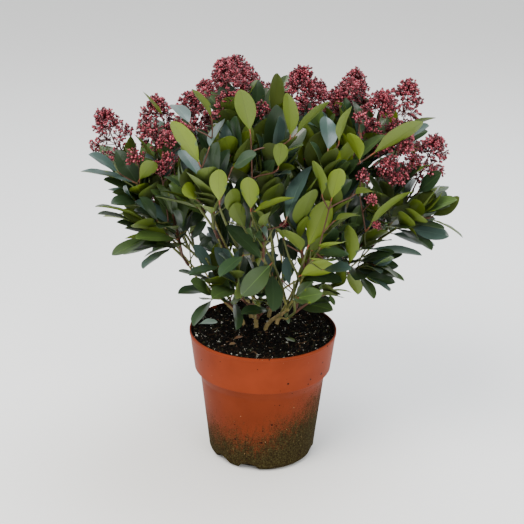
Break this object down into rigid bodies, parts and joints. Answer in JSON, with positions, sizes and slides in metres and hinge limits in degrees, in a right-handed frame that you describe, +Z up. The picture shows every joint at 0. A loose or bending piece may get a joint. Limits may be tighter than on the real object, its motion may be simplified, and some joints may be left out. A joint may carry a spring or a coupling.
{
  "type": "potted skimmia shrub",
  "caption": "Evergreen skimmia shrub with elliptic leaves and dark red bud clusters, standing in a round terracotta-coloured nursery pot.",
  "frame": {"origin": "centre of the pot's flat underside, on the surface it stands on", "axes": "+Z up; -Y towards the side that the picture shows, +X to the viewer's right"},
  "size_m": [0.4357, 0.4018, 0.5262],
  "materials": {
    "terracotta_plastic": "satin",
    "peat_compost": "matte",
    "skimmia_bark": "matte",
    "skimmia_leaf": "satin",
    "skimmia_blossom": "satin"
  },
  "bodies": {
    "root": {"pot": "terracotta_plastic", "compost": "peat_compost", "stem_front_right": "skimmia_bark", "stem_front": "skimmia_bark", "stem_left": "skimmia_bark", "stem_right": "skimmia_bark", "stem_back_left": "skimmia_bark", "stem_back_right": "skimmia_bark", "bough_front_centre": "skimmia_bark", "bough_front_right": "skimmia_bark", "bough_front_low_right": "skimmia_bark", "bough_front_right_high": "skimmia_bark", "bough_top_left": "skimmia_bark", "bough_front_left": "skimmia_bark", "bough_front_low_left": "skimmia_bark", "bough_front_low": "skimmia_bark", "bough_front_top": "skimmia_bark", "bough_left_high": "skimmia_bark", "bough_left_mid": "skimmia_bark", "bough_left_low": "skimmia_bark", "bough_right_high": "skimmia_bark", "bough_right_mid": "skimmia_bark", "bough_right_low": "skimmia_bark", "bough_top_right": "skimmia_bark", "bough_back_left_high": "skimmia_bark", "bough_back_left": "skimmia_bark", "bough_back_low": "skimmia_bark", "bough_back_high": "skimmia_bark", "bough_back_right_high": "skimmia_bark", "bough_back_right": "skimmia_bark", "bough_back": "skimmia_bark", "mass_front_centre": "skimmia_leaf", "mass_front_right": "skimmia_leaf", "mass_front_low_right": "skimmia_leaf", "mass_front_right_high": "skimmia_leaf", "mass_top_left": "skimmia_leaf", "mass_front_left": "skimmia_leaf", "mass_front_low_left": "skimmia_leaf", "mass_front_low": "skimmia_leaf", "mass_front_top": "skimmia_leaf", "mass_left_high": "skimmia_leaf", "mass_left_mid": "skimmia_leaf", "mass_left_low": "skimmia_leaf", "mass_right_high": "skimmia_leaf", "mass_right_mid": "skimmia_leaf", "mass_right_low": "skimmia_leaf", "mass_top_right": "skimmia_leaf", "mass_back_left_high": "skimmia_leaf", "mass_back_left": "skimmia_leaf", "mass_back_low": "skimmia_leaf", "mass_back_high": "skimmia_leaf", "mass_back_right_high": "skimmia_leaf", "mass_back_right": "skimmia_leaf", "mass_back": "skimmia_leaf"}
  },
  "joints": []
}
